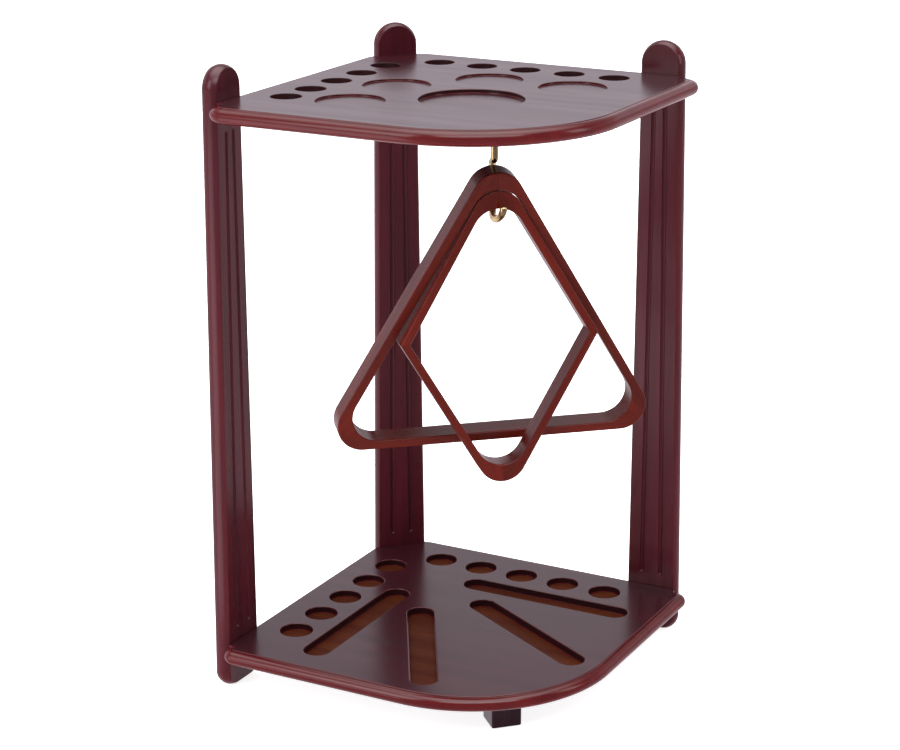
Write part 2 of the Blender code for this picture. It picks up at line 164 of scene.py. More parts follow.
# Shading
SMOOTH_ANGLE = 40.0
FLAT = 0.985  # a face whose normal rises more than this is level
STEEP = 0.3  # and one that rises less than this is a wall


# ---------------------------------------------------------------- camera


def add_camera():
    azimuth = math.radians(CAMERA_AZIMUTH)
    elevation = math.radians(CAMERA_ELEVATION)
    roll = math.radians(CAMERA_ROLL)
    level_out = math.cos(elevation)
    ahead = Vector((math.sin(azimuth) * level_out, math.cos(azimuth) * level_out, -math.sin(elevation)))
    level = Vector((math.cos(azimuth), -math.sin(azimuth), 0.0))
    above = level.cross(ahead)
    right = level * math.cos(roll) + above * math.sin(roll)
    up = above * math.cos(roll) - level * math.sin(roll)
    data = bpy.data.cameras.new("camera")
    data.lens = CAMERA_LENS
    data.sensor_width = 36.0
    data.clip_start = 0.05
    data.clip_end = 60.0
    camera = bpy.data.objects.new("camera", data)
    bpy.context.scene.collection.objects.link(camera)
    turn = Matrix((right, up, -ahead)).transposed().to_4x4()
    x, y, z = CAMERA_SPOT
    camera.matrix_world = Matrix.Translation((x, BASE_Y + y, LEG + z)) @ turn
    bpy.context.scene.camera = camera


# ---------------------------------------------------------------- mesh helpers


def plan(u, v):
    """The spot that lies u along the right wall and v along the left wall from the wall corner."""
    return Vector(((u - v) / math.sqrt(2), BASE_Y - (u + v) / math.sqrt(2)))


def new_object(name, built):
    bmesh.ops.recalc_face_normals(built, faces=built.faces)
    mesh = bpy.data.meshes.new(name)
    built.to_mesh(mesh)
    built.free()
    made = bpy.data.objects.new(name, mesh)
    bpy.context.scene.collection.objects.link(made)
    return made


def add_rings(built, rings):
    """Joins equal rings of points into a closed tube with a flat face at each end."""
    loops = [[built.verts.new(point) for point in ring] for ring in rings]
    count = len(loops[0])
    for low, high in zip(loops, loops[1:]):
        for i in range(count):
            j = (i + 1) % count
            built.faces.new((low[i], low[j], high[j], high[i]))
    built.faces.new(loops[0])
    built.faces.new(loops[-1])


def cut_with(made, cutter):
    """Cuts the object with the cutter and keeps the result as its mesh."""
    cut = made.modifiers.new("cut", "BOOLEAN")
    cut.operation = "DIFFERENCE"
    cut.solver = "EXACT"
    cut.object = cutter
    bpy.context.view_layer.update()
    seen = made.evaluated_get(bpy.context.evaluated_depsgraph_get())
    mesh = bpy.data.meshes.new_from_object(seen)
    made.modifiers.clear()
    made.data = mesh
    bpy.data.objects.remove(cutter, do_unlink=True)


def smooth(made):
    for face in made.data.polygons:
        face.use_smooth = True
    made.data.set_sharp_from_angle(angle=math.radians(SMOOTH_ANGLE))
    weigh = made.modifiers.new("weighted", "WEIGHTED_NORMAL")
    weigh.keep_sharp = True
    weigh.weight = 50


def fillet(corners, radii, counts):
    """(point, outward normal) pairs round a polygon with each corner rounded in counts[i] steps."""
    points = []
    total = len(corners)
    for i in range(total):
        corner = corners[i]
        back = (corners[i - 1] - corner).normalized()
        ahead = (corners[(i + 1) % total] - corner).normalized()
        half = back.angle(ahead) / 2
        centre = corner + (back + ahead).normalized() * (radii[i] / math.sin(half))
        start = corner + back * (radii[i] / math.tan(half)) - centre
        turn = math.pi - 2 * half
        first = math.atan2(start.y, start.x)
        for k in range(counts[i] + 1):
            angle = first + turn * k / counts[i]
            normal = Vector((math.cos(angle), math.sin(angle)))
            points.append((centre + normal * radii[i], normal))
    return points


def add_lathe(built, place, profile, count):
    """Adds a closed turned solid from (radius, height) pairs along the Z axis of place."""
    rings = []
    for radius, height in profile:
        ring = []
        for i in range(count):
            angle = 2 * math.pi * (i + 0.5) / count
            ring.append(place @ Vector((radius * math.cos(angle), radius * math.sin(angle), height)))
        rings.append(ring)
    add_rings(built, rings)


# ---------------------------------------------------------------- shelves


def shelf_outline(nose_end, side_r):
    """(point, normal, share) round the shelf: share is 1 on the rounded nose and 0 on the plain edge."""
    right = plan(BACK_FLAT * math.sqrt(2), 0)
    left = plan(0, BACK_FLAT * math.sqrt(2))
    corners = [right, left, plan(0, SHELF_SIDE), plan(SHELF_SIDE, SHELF_SIDE), plan(SHELF_SIDE, 0)]
    counts = [8, 8, 20, 64, 20]
    rounded = fillet(corners, [BACK_R, BACK_R, side_r, FRONT_R, side_r], counts)
    split = counts[0] + counts[1] + 2
    back, front = rounded[:split], rounded[split:]
    left_out = Vector((-1, 1)).normalized()
    right_out = Vector((1, 1)).normalized()
    outline = [(point, normal, 0.0) for point, normal in back]
    outline.extend((plan(0, nose_end + reach), left_out, share) for reach, share in NOSE_FADE)
    outline.extend((point, normal, 1.0) for point, normal in front)
    outline.extend((plan(nose_end + reach, 0), right_out, share) for reach, share in reversed(NOSE_FADE))
    return outline


def edge_profile():
    """(inset, height) pairs down the nosed edge, each beside its match on the plain edge."""
    middle = -SHELF_T / 2
    rise = SHELF_T / 2 - QUIRK
    quirk = [(NOSE + 0.0011, 0.0), (NOSE + 0.0006, -0.00015), (NOSE + 0.0004, -0.0004),
             (NOSE + 0.0001, -QUIRK)]
    nosed = list(quirk)
    steps = 22
    for step in range(1, steps):
        angle = math.radians(90 - 180 * step / steps)
        nosed.append((NOSE * (1 - math.cos(angle)), middle + rise * math.sin(angle)))
    nosed.extend([(inset, -SHELF_T - height) for inset, height in reversed(quirk)])
    plain = []
    arris_points = 8
    for step in range(arris_points):
        angle = math.radians(90 * step / (arris_points - 1))
        plain.append((PLAIN_ARRIS * (1 - math.sin(angle)), -PLAIN_ARRIS * (1 - math.cos(angle))))
    arris = list(plain)
    sides = len(nosed) - 2 * arris_points + 1
    for step in range(1, sides):
        plain.append((0.0, -PLAIN_ARRIS - (SHELF_T - 2 * PLAIN_ARRIS) * step / sides))
    plain.extend([(inset, -SHELF_T - height) for inset, height in reversed(arris)])
    return list(zip(nosed, plain))


def shelf(name, top, nose_end, side_r):
    outline = shelf_outline(nose_end, side_r)
    built = bmesh.new()
    rings = []
    for nosed, plain in edge_profile():
        ring = []
        for point, normal, share in outline:
            inset = nosed[0] * share + plain[0] * (1 - share)
            height = nosed[1] * share + plain[1] * (1 - share)
            spot = point - normal * inset
            ring.append(Vector((spot.x, spot.y, top + height)))
        rings.append(ring)
    add_rings(built, rings)
    return new_object(name, built)


def lip_levels(top, sign):
    """(growth, height) pairs of a rounded mouth, from above the face into the hole."""
    levels = [(LIP, top + sign * 0.002)]
    for step in range(6):
        angle = math.radians(90 * step / 5)
        levels.append((LIP * (1 - math.sin(angle)), top - sign * LIP * (1 - math.cos(angle))))
    return levels


def add_pocket(built, ring_of, top, depth):
    levels = lip_levels(top, 1)
    levels.extend([(0.0, top - depth + 0.0008), (-0.0002, top - depth + 0.0003), (-0.0008, top - depth)])
    add_rings(built, [ring_of(grow, height) for grow, height in levels])


def add_through(built, ring_of, top):
    levels = lip_levels(top, 1) + lip_levels(top - SHELF_T, -1)[::-1]
    add_rings(built, [ring_of(grow, height) for grow, height in levels])


def round_ring(centre, radius, count):
    def ring(grow, height):
        points = []
        reach = radius + grow
        for i in range(count):
            angle = 2 * math.pi * (i + 0.5) / count
            x = centre.x + reach * math.cos(angle)
            y = centre.y + reach * math.sin(angle)
            points.append(Vector((x, y, height)))
        return points

    return ring


def slot_ring(centre, direction, length, width, count):
    def ring(grow, height):
        points = []
        side = Vector((-direction.y, direction.x))
        reach = width / 2 + grow
        for sign in (1, -1):
            end = centre + direction * (sign * (length - width) / 2)
            for i in range(count + 1):
                angle = math.pi * i / count - math.pi / 2
                spot = end + (direction * math.cos(angle) + side * math.sin(angle)) * (sign * reach)
                points.append(Vector((spot.x, spot.y, height)))
        return points

    return ring


def cue_spots(left_end=0.0):
    along = [CUE_FIRST + CUE_PITCH * i for i in range(CUE_COUNT)]
    left = along[:-1] + [along[-1] - left_end]
    return [plan(u, CUE_ROW) for u in along] + [plan(CUE_ROW, v) for v in left]


def slot_lines():
    """Centre and direction of each ball slot."""
    lines = []
    tilt = math.radians(SLOT_TILT)
    for sign in (1, -1):
        lines.append((plan(*OUTER_SLOT[::sign]), Vector((sign, -1)).normalized()))
        lines.append((plan(*INNER_SLOT[::sign]), Vector((sign * math.sin(tilt), -math.cos(tilt)))))
    return lines


def build_shelves():
    top = LEG + SHELF_RISE
    upper = shelf("top_shelf_board", top, TOP_NOSE_END, SIDE_R_TOP)
    built = bmesh.new()
    for spot in cue_spots(CUE_SHORT):
        add_through(built, round_ring(spot, CUE_R, 64), top)
    for u, v in CUP_SPOTS:
        add_pocket(built, round_ring(plan(u, v), CUP_R, 96), top, CUP_DEPTH)
        add_pocket(built, round_ring(plan(v, u), CUP_R, 96), top, CUP_DEPTH)
    add_pocket(built, round_ring(plan(BOWL_SPOT, BOWL_SPOT), BOWL_R, 128), top, BOWL_DEPTH)
    hook_hole = Matrix.Translation((0.0, BASE_Y - HOOK_Y, top - SHELF_T))
    add_lathe(built, hook_hole, [(HOOK_ROD + GAP, -0.002), (HOOK_ROD + GAP, HOOK_IN + GAP)], 24)
    cut_with(upper, new_object("top_cutter", built))

    lower = shelf("bottom_shelf_board", LEG, BOTTOM_NOSE_END, SIDE_R_BOTTOM)
    built = bmesh.new()
    for spot in cue_spots():
        add_pocket(built, round_ring(spot, BUTT_R, 64), LEG, BUTT_DEPTH)
        dimple = Matrix.Translation((spot.x, spot.y, LEG - BUTT_DEPTH))
        add_lathe(built, dimple, DRILL_MARK, 16)
    for centre, direction in slot_lines():
        add_pocket(built, slot_ring(centre, direction, SLOT_LENGTH, SLOT_WIDTH, 24), LEG, SLOT_DEPTH)
    cut_with(lower, new_object("bottom_cutter", built))
    return upper, lower


# ---------------------------------------------------------------- posts


def post_matrix(post):
    """Stands the post against its shelf edge: X across its width, Y out through its thickness."""
    if post == "back_post":
        return Matrix.Translation((0.0, BASE_Y - BACK_FLAT + GAP, 0.0))
    side = 1 if post == "right_post" else -1
    corner = Matrix.Translation((0.0, BASE_Y, 0.0))
    turn = Matrix.Rotation(math.radians(-45 * side), 4, "Z")
    return corner @ turn @ Matrix.Translation((0.0, GAP, 0.0))


def post_centre(post, rise):
    if post == "back_post":
        return 0.0
    side = 1 if post == "right_post" else -1
    return side * (POST_U_BOTTOM + (POST_U_TOP - POST_U_BOTTOM) * rise / SHELF_RISE)


def post_half(rise):
    return POST_BULGE + (POST_W_BOTTOM + (POST_W_TOP - POST_W_BOTTOM) * rise / SHELF_RISE) / 2


def post_outline(post):
    top = SHELF_RISE + POST_CROWN
    arch = post_half(top - POST_ARCH)
    low = post_half(-LEG)
    spots = []
    spring = top - arch
    for k in range(49):
        angle = math.pi * k / 48
        normal = Vector((math.cos(angle), math.sin(angle)))
        spots.append((Vector((post_centre(post, spring), spring)) + normal * arch, normal))
    for side in (-1, 1):
        for k in range(17):
            share = k / 16 if side < 0 else 1 - k / 16
            angle = math.pi / 2 * share
            normal = Vector((side * math.cos(angle), -math.sin(angle)))
            centre = Vector((post_centre(post, -LEG) + side * (low - POST_FOOT_R), -LEG + POST_FOOT_R))
            spots.append((centre + normal * POST_FOOT_R, normal))
    return spots


def post_edge():
    """(inset, depth) pairs across the bulged thin edge, with a small rounded arris at each face."""
    pairs = []
    steps = 18
    for step in range(-steps, steps + 1):
        share = step / steps
        if abs(share) > 0.97:
            continue
        pairs.append((POST_BULGE * share * share, POST_T * (share + 1) / 2))
    near = [(POST_BULGE + POST_ARRIS, 0.0), (POST_BULGE + POST_ARRIS * 0.45, 0.00006),
            (POST_BULGE + POST_ARRIS * 0.1, 0.0002)]
    far = [(inset, POST_T - depth) for inset, depth in reversed(near)]
    return near + pairs + far


def build_post(post):
    outline = post_outline(post)
    place = post_matrix(post) @ Matrix.Translation((0.0, 0.0, LEG))
    built = bmesh.new()
    rings = []
    for inset, depth in post_edge():
        ring = []
        for point, normal in outline:
            spot = point - normal * inset
            ring.append(place @ Vector((spot.x, depth, spot.y)))
        rings.append(ring)
    add_rings(built, rings)
    made = new_object(post + "_board", built)
    built = bmesh.new()
    for side in (-1, 1):
        low_x = post_centre(post, 0.0) + side * FLUTE_X_BOTTOM
        high_x = post_centre(post, SHELF_RISE) + side * FLUTE_X_TOP
        low = Vector((low_x, FLUTE_DEPTH - FLUTE_R, FLUTE_BOTTOM))
        high = Vector((high_x, FLUTE_DEPTH - FLUTE_R, SHELF_RISE + FLUTE_TOP))
        run = (high - low).normalized()
        turn = Vector((0, 0, 1)).rotation_difference(run).to_matrix().to_4x4()
        placed = place @ Matrix.Translation(low) @ turn
        length = (high - low).length
        profile = []
        for k in range(1, 8):
            angle = math.radians(90 - 90 * k / 7)
            profile.append((FLUTE_R * math.cos(angle), FLUTE_R - FLUTE_R * math.sin(angle)))
        ends = [(radius, length - height) for radius, height in reversed(profile)]
        add_lathe(built, placed, profile + ends, 32)
    sink_r = SCREW_HEAD_R + SCREW_SINK + 1.5 * GAP + 0.0003
    hole_r = SCREW_R + GAP
    sink = [(sink_r + 0.001, 0.001), (hole_r, hole_r - sink_r), (hole_r, -POST_T - 0.001)]
    for screw in screw_frames(post):
        add_lathe(built, screw, sink, 32)
    cut_with(made, new_object(post + "_cutter", built))
    return made


def screw_frames(post):
    frames = []
    for level in (LEG + SHELF_RISE, LEG):
        for side in (-1, 1):
            across = post_centre(post, level - LEG) + side * SCREW_SPREAD
            local = Vector((across, POST_T, level - SHELF_T / 2))
            outward = Matrix.Rotation(math.radians(-90), 4, "X")
            frames.append(post_matrix(post) @ Matrix.Translation(local) @ outward)
    return frames


def build_foot():
    half = FOOT_SIDE / 2
    centre = Vector((0.0, BASE_Y - FOOT_FRONT + half))
    corners = [centre + Vector((x * half, y * half)) for x, y in ((1, -1), (1, 1), (-1, 1), (-1, -1))]
    outline = fillet(corners, [FOOT_R] * 4, [8] * 4)
    built = bmesh.new()
    levels = [(0.0, LEG - SHELF_T - GAP), (0.0, FOOT_ARRIS)]
    for step in range(1, 6):
        angle = math.radians(18 * step)
        levels.append((FOOT_ARRIS * (1 - math.cos(angle)), FOOT_ARRIS * (1 - math.sin(angle))))
    add_rings(built, [[Vector((*(point - normal * inset), height)) for point, normal in outline]
                      for inset, height in levels])
    return new_object("front_foot_block", built)


# ---------------------------------------------------------------- hook, triangle and diamond


def hang_matrix(lean, roll, yaw=HANG_YAW):
    place = Matrix.Translation((0.0, BASE_Y - HOOK_Y, LEG + HOOK_Z))
    turn = Matrix.Rotation(math.radians(yaw), 4, "Z")
    tip = Matrix.Rotation(math.radians(lean), 4, "X")
    spin = Matrix.Rotation(math.radians(-roll), 4, "Y")
    return place @ turn @ tip @ spin


def hook_path():
    """Centre line of the hook: (turn about Z, reach to the back, height over the bend's centre)."""
    mouth = SHELF_RISE - SHELF_T - HOOK_Z
    rise = math.sqrt((HOOK_R + HOOK_BEND) ** 2 - HOOK_BEND ** 2)
    back = HOOK_YAW_BACK
    curve = []
    meet = math.atan2(rise, HOOK_BEND)
    neck_steps, bend_steps = 12, 72
    for k in range(neck_steps + 1):
        angle = math.pi + meet * k / neck_steps
        curve.append((back, HOOK_BEND + HOOK_BEND * math.cos(angle), rise + HOOK_BEND * math.sin(angle)))
    for k in range(1, bend_steps + 1):
        angle = meet + (-math.pi - math.radians(HOOK_TIP) - meet) * k / bend_steps
        share = min(max((HOOK_TWIST_START - math.degrees(angle)) / HOOK_TWIST_SPAN, 0.0), 1.0)
        yaw = back + (HOOK_YAW_TIP - back) * share * share * (3 - 2 * share)
        curve.append((yaw, HOOK_R * math.cos(angle), HOOK_R * math.sin(angle)))
    path = [(back, 0.0, mouth + HOOK_IN), (back, 0.0, mouth), (back, 0.0, (mouth + rise) / 2)]
    for yaw, reach, height in curve:
        if reach > 0:
            reach *= HOOK_BACK / HOOK_R
        if height > 0:
            height *= HOOK_TOP / HOOK_R
        path.append((yaw, reach, height))
    return path


def build_hook():
    place = hang_matrix(0.0, 0.0, 0.0)
    spots = []
    sides = []
    for yaw, reach, height in hook_path():
        turn = math.radians(yaw)
        spots.append(Vector((-math.sin(turn) * reach, math.cos(turn) * reach, height)))
        sides.append(Vector((math.cos(turn), math.sin(turn), 0.0)))
    rings = []
    count = 28
    for i, spot in enumerate(spots):
        run = (spots[min(i + 1, len(spots) - 1)] - spots[max(i - 1, 0)]).normalized()
        side = (sides[i] - run * sides[i].dot(run)).normalized()
        across = side.cross(run)
        rings.append((spot, side, across, HOOK_ROD))
        if i == len(spots) - 1:
            for step in range(1, 7):
                angle = math.radians(14 * step)
                end = spot + run * (HOOK_ROD * math.sin(angle))
                rings.append((end, side, across, HOOK_ROD * math.cos(angle)))
    built = bmesh.new()
    loops = []
    for spot, side, across, radius in rings:
        loop = []
        for k in range(count):
            angle = 2 * math.pi * k / count
            loop.append(place @ (spot + (side * math.cos(angle) + across * math.sin(angle)) * radius))
        loops.append(loop)
    add_rings(built, loops)
    return new_object("hook_rod", built)


def corner_run(apex, axis, side, width, inner_r, outer_r, half, count):
    """(inner, outer) points from a rounded corner's mitre round to its straight rail."""
    outer_apex = apex - axis * (width / math.sin(half))
    inner_centre = apex + axis * (inner_r / math.sin(half))
    outer_centre = outer_apex + axis * (outer_r / math.sin(half))
    across = Vector((-axis.y, axis.x))
    if across.dot(side) < 0:
        across = -across
    pairs = []
    for k in range(count + 1):
        angle = (math.pi / 2 - half) * k / count
        normal = -axis * math.cos(angle) + across * math.sin(angle)
        pairs.append((inner_centre + normal * inner_r, outer_centre + normal * outer_r))
    shift = across * (MITRE_GAP / 2)
    pairs[0] = (pairs[0][0] + shift, pairs[0][1] + shift)
    return pairs


def sharp_end(apex, axis, side, width, half):
    """(inner, outer) points of a rail's mitre at a sharp corner."""
    outer_apex = apex - axis * (width / math.sin(half))
    across = Vector((-axis.y, axis.x))
    if across.dot(side) < 0:
        across = -across
    shift = across * (MITRE_GAP / 2)
    return (apex + shift, outer_apex + shift)


def build_rail(name, pairs, place):
    """Sweeps the rail's section, with rounded arrises, along the (inner, outer) pairs."""
    half = RAIL_DEPTH / 2
    built = bmesh.new()
    rings = []
    steps = 5
    for inner, outer in pairs:
        across = outer - inner
        width = across.length
        across = across / width
        section = []
        for x, y, first in ((width, half, 0), (0.0, half, 90), (0.0, -half, 180), (width, -half, 270)):
            cx = x - RAIL_ARRIS if x else RAIL_ARRIS
            cy = y - math.copysign(RAIL_ARRIS, y)
            for k in range(steps + 1):
                angle = math.radians(first + 90 * k / steps)
                section.append((cx + RAIL_ARRIS * math.cos(angle), cy + RAIL_ARRIS * math.sin(angle)))
        ring = []
        for x, y in section:
            spot = inner + across * x
            ring.append(place @ Vector((spot.x, y, spot.y)))
        rings.append(ring)
    add_rings(built, rings)
    return new_object(name, built)


def build_triangle():
    place = hang_matrix(TRI_LEAN, TRI_ROLL)
    rise = TRI_SIDE * math.sqrt(3) / 2
    apexes = [Vector((TRI_SHIFT + x * TRI_SIDE / 2, TRI_APEX - drop))
              for x, drop in ((0, 0.0), (-1, rise), (1, rise))]
    middle = (apexes[0] + apexes[1] + apexes[2]) / 3
    half = math.radians(30)
    rails = {}
    for name, first, last in (("left", 0, 1), ("bottom", 1, 2), ("right", 2, 0)):
        pairs = []
        for start, end in ((first, last), (last, first)):
            axis = (middle - apexes[start]).normalized()
            run = apexes[end] - apexes[start]
            pairs.append(corner_run(apexes[start], axis, run, TRI_WIDTH, TRI_INNER_R, TRI_OUTER_R,
                                    half, 20))
        node = "triangle_rail_" + name
        rails[node] = build_rail(node + "_wood", pairs[0] + pairs[1][::-1], place)
    return rails


def build_diamond():
    place = hang_matrix(DIA_LEAN, DIA_ROLL)
    reach = DIA_SIDE * math.cos(math.radians(30))
    spread = DIA_SIDE / 2
    centre = Vector((DIA_SHIFT, DIA_APEX - reach))
    rails = {}
    for vertical, word in ((1, "upper"), (-1, "lower")):
        for side, hand in ((-1, "left"), (1, "right")):
            apex = centre + Vector((0.0, vertical * reach))
            elbow = centre + Vector((side * spread, 0.0))
            run = elbow - apex
            axis = (centre - apex).normalized()
            pairs = corner_run(apex, axis, run, DIA_WIDTH, DIA_INNER_R, DIA_OUTER_R,
                               math.radians(30), 20)
            inward = (centre - elbow).normalized()
            pairs.append(sharp_end(elbow, inward, -run, DIA_WIDTH, math.radians(60)))
            node = "diamond_rail_{}_{}".format(word, hand)
            rails[node] = build_rail(node + "_wood", pairs, place)
    return rails


# ---------------------------------------------------------------- materials


def shader_of(name):
    made = bpy.data.materials.new(name)
    made.use_nodes = True
    return made, made.node_tree, made.node_tree.nodes["Principled BSDF"]


def ramp(tree, source, stops):
    node = tree.nodes.new("ShaderNodeValToRGB")
    elements = node.color_ramp.elements
    while len(elements) < len(stops):
        elements.new(0.5)
    for element, (place, colour) in zip(elements, stops):
        element.position = place
        element.color = (*colour, 1.0)
    tree.links.new(source, node.inputs["Fac"])
    return node.outputs["Color"]


def lacquer(name, dark, light, grain_turn, roughness=0.28, ior=1.43):
    """Stained mahogany under satin lacquer: long grain figure, short pores, a faintly uneven gloss."""
    made, tree, shader = shader_of(name)
    nodes, links = tree.nodes, tree.links
    coords = nodes.new("ShaderNodeTexCoord")
    mapping = nodes.new("ShaderNodeMapping")
    mapping.inputs["Rotation"].default_value = [math.radians(a) for a in grain_turn]
    links.new(coords.outputs["Object"], mapping.inputs["Vector"])

    def stretched(scale_xyz, noise_scale, detail, rough, distortion=0.0):
        squeeze = nodes.new("ShaderNodeMapping")
        squeeze.inputs["Scale"].default_value = scale_xyz
        links.new(mapping.outputs["Vector"], squeeze.inputs["Vector"])
        noise = nodes.new("ShaderNodeTexNoise")
        noise.inputs["Scale"].default_value = noise_scale
        noise.inputs["Detail"].default_value = detail
        noise.inputs["Roughness"].default_value = rough
        noise.inputs["Distortion"].default_value = distortion
        links.new(squeeze.outputs["Vector"], noise.inputs["Vector"])
        return noise.outputs["Fac"]

    figure = stretched((0.5, 10.0, 10.0), 6.0, 4.0, 0.5, 0.15)
    pores = stretched((3.0, 90.0, 90.0), 11.0, 3.0, 0.6)

    tone = ramp(tree, figure, [(0.32, dark), (0.68, light)])
    pore_mask = ramp(tree, pores, [(0.30, (0.62, 0.62, 0.62)), (0.46, (1.0, 1.0, 1.0))])
    deepen = nodes.new("ShaderNodeMix")
    deepen.data_type = "RGBA"
    deepen.blend_type = "MULTIPLY"
    deepen.inputs["Factor"].default_value = 0.55
    links.new(tone, deepen.inputs["A"])
    links.new(pore_mask, deepen.inputs["B"])
    links.new(deepen.outputs["Result"], shader.inputs["Base Color"])

    gloss = nodes.new("ShaderNodeMapRange")
    gloss.inputs["From Min"].default_value = 0.3
    gloss.inputs["From Max"].default_value = 0.7
    gloss.inputs["To Min"].default_value = roughness + 0.03
    gloss.inputs["To Max"].default_value = roughness - 0.02
    links.new(figure, gloss.inputs["Value"])
    links.new(gloss.outputs["Result"], shader.inputs["Roughness"])
    shader.inputs["IOR"].default_value = ior

    bump = nodes.new("ShaderNodeBump")
    bump.inputs["Strength"].default_value = 0.05
    bump.inputs["Distance"].default_value = 0.0002
    links.new(pores, bump.inputs["Height"])
    links.new(bump.outputs["Normal"], shader.inputs["Normal"])
    return made


def brass(name, colour, roughness):
    made, tree, shader = shader_of(name)
    nodes, links = tree.nodes, tree.links
    coords = nodes.new("ShaderNodeTexCoord")
    noise = nodes.new("ShaderNodeTexNoise")
    noise.inputs["Scale"].default_value = 160.0
    noise.inputs["Detail"].default_value = 4.0
    links.new(coords.outputs["Object"], noise.inputs["Vector"])
    darker = tuple(c * 0.72 for c in colour)
    tone = ramp(tree, noise.outputs["Fac"], [(0.35, darker), (0.65, colour)])
    links.new(tone, shader.inputs["Base Color"])
    spread = nodes.new("ShaderNodeMapRange")
    spread.inputs["To Min"].default_value = roughness - 0.05
    spread.inputs["To Max"].default_value = roughness + 0.10
    links.new(noise.outputs["Fac"], spread.inputs["Value"])
    links.new(spread.outputs["Result"], shader.inputs["Roughness"])
    shader.inputs["Metallic"].default_value = 1.0
    bump = nodes.new("ShaderNodeBump")
    bump.inputs["Strength"].default_value = 0.05
    bump.inputs["Distance"].default_value = 0.0002
    links.new(noise.outputs["Fac"], bump.inputs["Height"])
    links.new(bump.outputs["Normal"], shader.inputs["Normal"])
    return made


# ---------------------------------------------------------------- stage and light


def add_stage():
    mesh = bpy.data.meshes.new("floor")
    corners = [(x * FLOOR_REACH, y * FLOOR_REACH, 0) for x, y in ((-1, -1), (1, -1), (1, 1), (-1, 1))]
    mesh.from_pydata(corners, [], [(0, 1, 2, 3)])
    floor = bpy.data.objects.new("floor", mesh)
    bpy.context.scene.collection.objects.link(floor)
    made, _, shader = shader_of("floor_paper")
    shader.inputs["Base Color"].default_value = (0.95, 0.95, 0.95, 1.0)
    shader.inputs["Roughness"].default_value = 0.9
    shader.inputs["Specular IOR Level"].default_value = 0.2
    mesh.materials.append(made)
    shader.inputs["Emission Color"].default_value = (1.0, 1.0, 1.0, 1.0)
    shader.inputs["Emission Strength"].default_value = 0.85
    floor.visible_glossy = False


def add_area(name, place, aim, size_x, size_y, power, colour=(1.0, 1.0, 1.0)):
    data = bpy.data.lights.new(name, "AREA")
    data.shape = "RECTANGLE"
    data.size = size_x
    data.size_y = size_y
    data.energy = power
    data.color = colour
    lamp = bpy.data.objects.new(name, data)
    bpy.context.scene.collection.objects.link(lamp)
    lamp.location = place
    lamp.rotation_euler = (Vector(aim) - Vector(place)).to_track_quat("-Z", "Y").to_euler()
    lamp.visible_camera = False
    return lamp


def add_light():
    """A pale studio: soft boxes at both sides and overhead, a small card low on the left."""
    world = bpy.data.worlds.new("studio")
    world.use_nodes = True
    tree = world.node_tree
    nodes, links = tree.nodes, tree.links
    coords = nodes.new("ShaderNodeTexCoord")
    split = nodes.new("ShaderNodeSeparateXYZ")
    links.new(coords.outputs["Generated"], split.inputs["Vector"])

    def ranged(source, low, high, start, end):
        node = nodes.new("ShaderNodeMapRange")
        for key, value in (("From Min", low), ("From Max", high), ("To Min", start), ("To Max", end)):
            node.inputs[key].default_value = value
        links.new(source, node.inputs["Value"])
        return node.outputs["Result"]

    band = nodes["Background"]
    rise = ranged(split.outputs["Z"], -0.2, 0.6, 0.0, 1.0)
    tint = ramp(tree, rise, [(0.0, (0.75, 0.70, 0.75)), (0.22, (0.60, 0.56, 0.60)),
                             (0.36, (0.40, 0.37, 0.41)), (0.56, (1.00, 0.93, 1.03)),
                             (0.68, (0.95, 0.90, 0.98)), (0.82, (0.50, 0.48, 0.50)),
                             (1.0, (0.35, 0.345, 0.35))])
    links.new(tint, band.inputs["Color"])
    links.new(ranged(split.outputs["Y"], -0.5, 0.8, WORLD_FRONT, WORLD_BACK), band.inputs["Strength"])
    sky = nodes.new("ShaderNodeBackground")
    sky.inputs["Color"].default_value = (1.0, 1.0, 1.0, 1.0)
    links.new(ranged(split.outputs["Z"], 0.70, 0.97, 0.0, WORLD_TOP), sky.inputs["Strength"])
    both = nodes.new("ShaderNodeAddShader")
    links.new(band.outputs["Background"], both.inputs[0])
    links.new(sky.outputs["Background"], both.inputs[1])
    links.new(both.outputs["Shader"], nodes["World Output"].inputs["Surface"])
    bpy.context.scene.world = world
    add_area("left_box", (-2.2, -0.9, 1.5), (0.0, 0.0, 0.4), 0.9, 1.6, 14.0)
    add_area("right_box", (2.0, -1.2, 1.2), (0.0, 0.0, 0.35), 0.6, 1.4, 6.0)
    add_area("top_box", (-0.5, -2.6, 3.0), (0.0, 0.0, 0.4), 3.4, 1.5, 62.0, (1.0, 0.93, 0.97))
    add_area("left_card", (-0.72, -0.19, 0.22), (-0.25, -0.02, 0.36), 0.42, 0.62, 1.1, (1.0, 0.9, 0.97))
    bpy.context.scene.view_settings.view_transform = "Standard"
    bpy.context.scene.view_settings.look = "None"


# ---------------------------------------------------------------- assembly


def place_piece(piece, body, node, materials, pick=None):
    """Gives the piece its finish and its place in the frame. pick says which material a face takes."""
    piece.data.materials.clear()
    for material in materials:
        piece.data.materials.append(material)
    if pick:
        for face in piece.data.polygons:
            face.material_index = pick(face)
    smooth(piece)
    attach(piece, body)
    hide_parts(node)


def top_pick(face):
    """0 flat face, 1 rounded nose in a lighter lacquer that is painted light, 2 wall of a hole or cup in
    a near-black lacquer that is painted shade.
    """
    if abs(face.normal.z) > FLAT:
        return 0
    if abs(face.normal.z) < STEEP and face.center.z > LEG + SHELF_RISE - 0.003:
        return 2
    spot = Vector((face.center.x, face.center.y))
    return 2 if min((spot - hole).length for hole in cue_spots(CUE_SHORT)) < CUE_R + 0.002 else 1


def bottom_pick(face):
    """0 flat face, 1 rounded nose in a lighter lacquer that is painted light, 2 wall of a pocket or slot
    in a near-black lacquer that is painted shade, 3 its floor.
    """
    if face.normal.z > 0.9 and face.center.z < LEG - 0.005:
        return 3
    if abs(face.normal.z) > FLAT:
        return 0
    return 2 if abs(face.normal.z) < STEEP and face.center.z > LEG - 0.0055 else 1


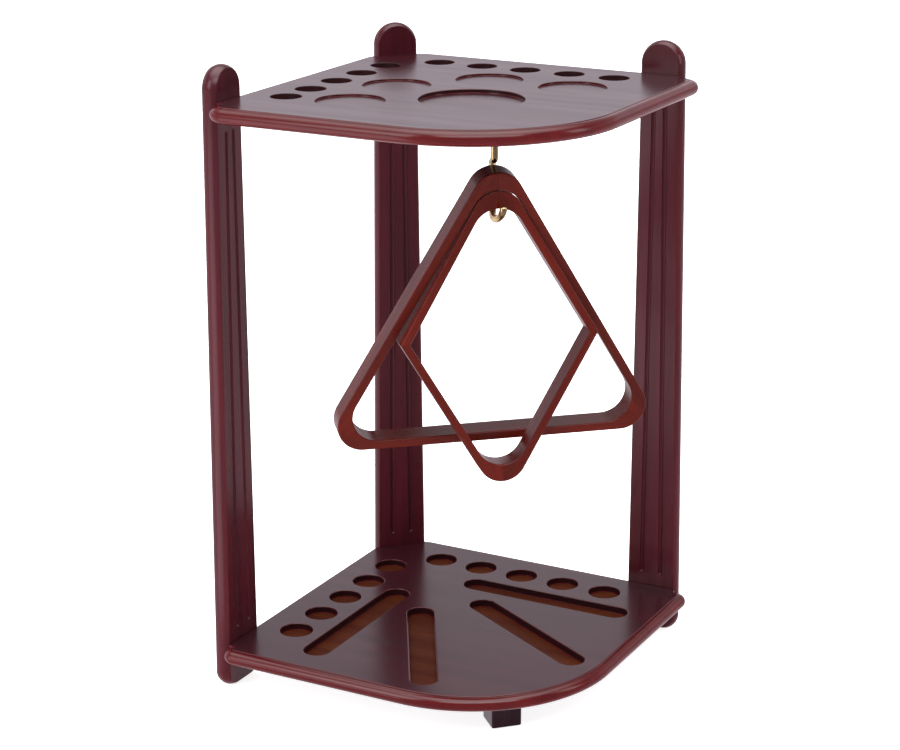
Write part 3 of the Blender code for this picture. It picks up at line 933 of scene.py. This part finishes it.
def make_finishes():
    """Every finish but the rails' own, by name."""
    flat_grain = (0.0, 0.0, 45.0)
    upright_grain = (0.0, 90.0, 0.0)
    return {
        "board": lacquer("shelf_lacquer", (0.026, 0.004, 0.008), (0.038, 0.006, 0.010), flat_grain, 0.24),
        # Painted light: the nose is the board's own stain made lighter and redder, standing in for the
        # light the rounded nose catches.
        "nose": lacquer("nose_lacquer_painted_light", (0.066, 0.005, 0.006), (0.090, 0.008, 0.009), flat_grain, 0.17),
        "floors": lacquer("recess_stain", (0.050, 0.009, 0.004), (0.080, 0.019, 0.006), flat_grain,
                          0.5, 1.12),
        "upright": lacquer("post_lacquer", (0.048, 0.006, 0.010), (0.072, 0.009, 0.014), upright_grain,
                           0.22),
        "block": lacquer("foot_lacquer", (0.022, 0.006, 0.012), (0.036, 0.009, 0.018), upright_grain),
        # Painted shade: the walls of holes, cups, pockets and slots are made near-black, standing in for
        # the shade inside them.
        "walls": lacquer("recess_wall_painted_shade", (0.016, 0.003, 0.004), (0.026, 0.004, 0.006), flat_grain,
                         0.4, 1.3),
        "metal": brass("hook_brass", (0.95, 0.72, 0.36), 0.2),
        "plated": brass("screw_plating", (0.62, 0.50, 0.28), 0.35),
    }


def place_stand(finish):
    # The nose finish is a lighter copy of the board lacquer as painted light, and the wall finish is
    # near-black painted shade.
    board, nose, walls = finish["board"], finish["nose"], finish["walls"]
    top_board, bottom_board = build_shelves()
    place_piece(top_board, "stand", "top_shelf", [board, nose, walls], top_pick)
    place_piece(bottom_board, "stand", "bottom_shelf",
                [board, nose, walls, finish["floors"]], bottom_pick)
    for post in POSTS:
        place_piece(build_post(post), "stand", post, [finish["upright"]])
    place_piece(build_foot(), "stand", "front_foot", [finish["block"]])
    place_piece(build_hook(), "stand", "hook", [finish["metal"]])


def place_rings():
    """Each rail has its own finish, because the grain runs along it."""
    turns = {"triangle_rail_left": 60.0, "triangle_rail_bottom": 0.0, "triangle_rail_right": -60.0,
             "diamond_rail_upper_left": 60.0, "diamond_rail_upper_right": -60.0,
             "diamond_rail_lower_left": -60.0, "diamond_rail_lower_right": 60.0}
    dark = (0.060, 0.004, 0.0016)
    light = (0.102, 0.007, 0.0028)
    for rails, body in ((build_triangle(), "triangle"), (build_diamond(), "diamond")):
        for node, piece in rails.items():
            wood = lacquer(node + "_lacquer", dark, light, (0.0, turns[node], 0.0), 0.26, 1.38)
            place_piece(piece, body, node, [wood])


def finish_screws(plated):
    """The screws stay as their CAD nodes and only take their finish."""
    for node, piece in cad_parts.items():
        if "screw" in node:
            piece.data.materials.clear()
            piece.data.materials.append(plated)


def main():
    add_camera()
    finish = make_finishes()
    place_stand(finish)
    place_rings()
    finish_screws(finish["plated"])
    add_stage()
    add_light()


main()
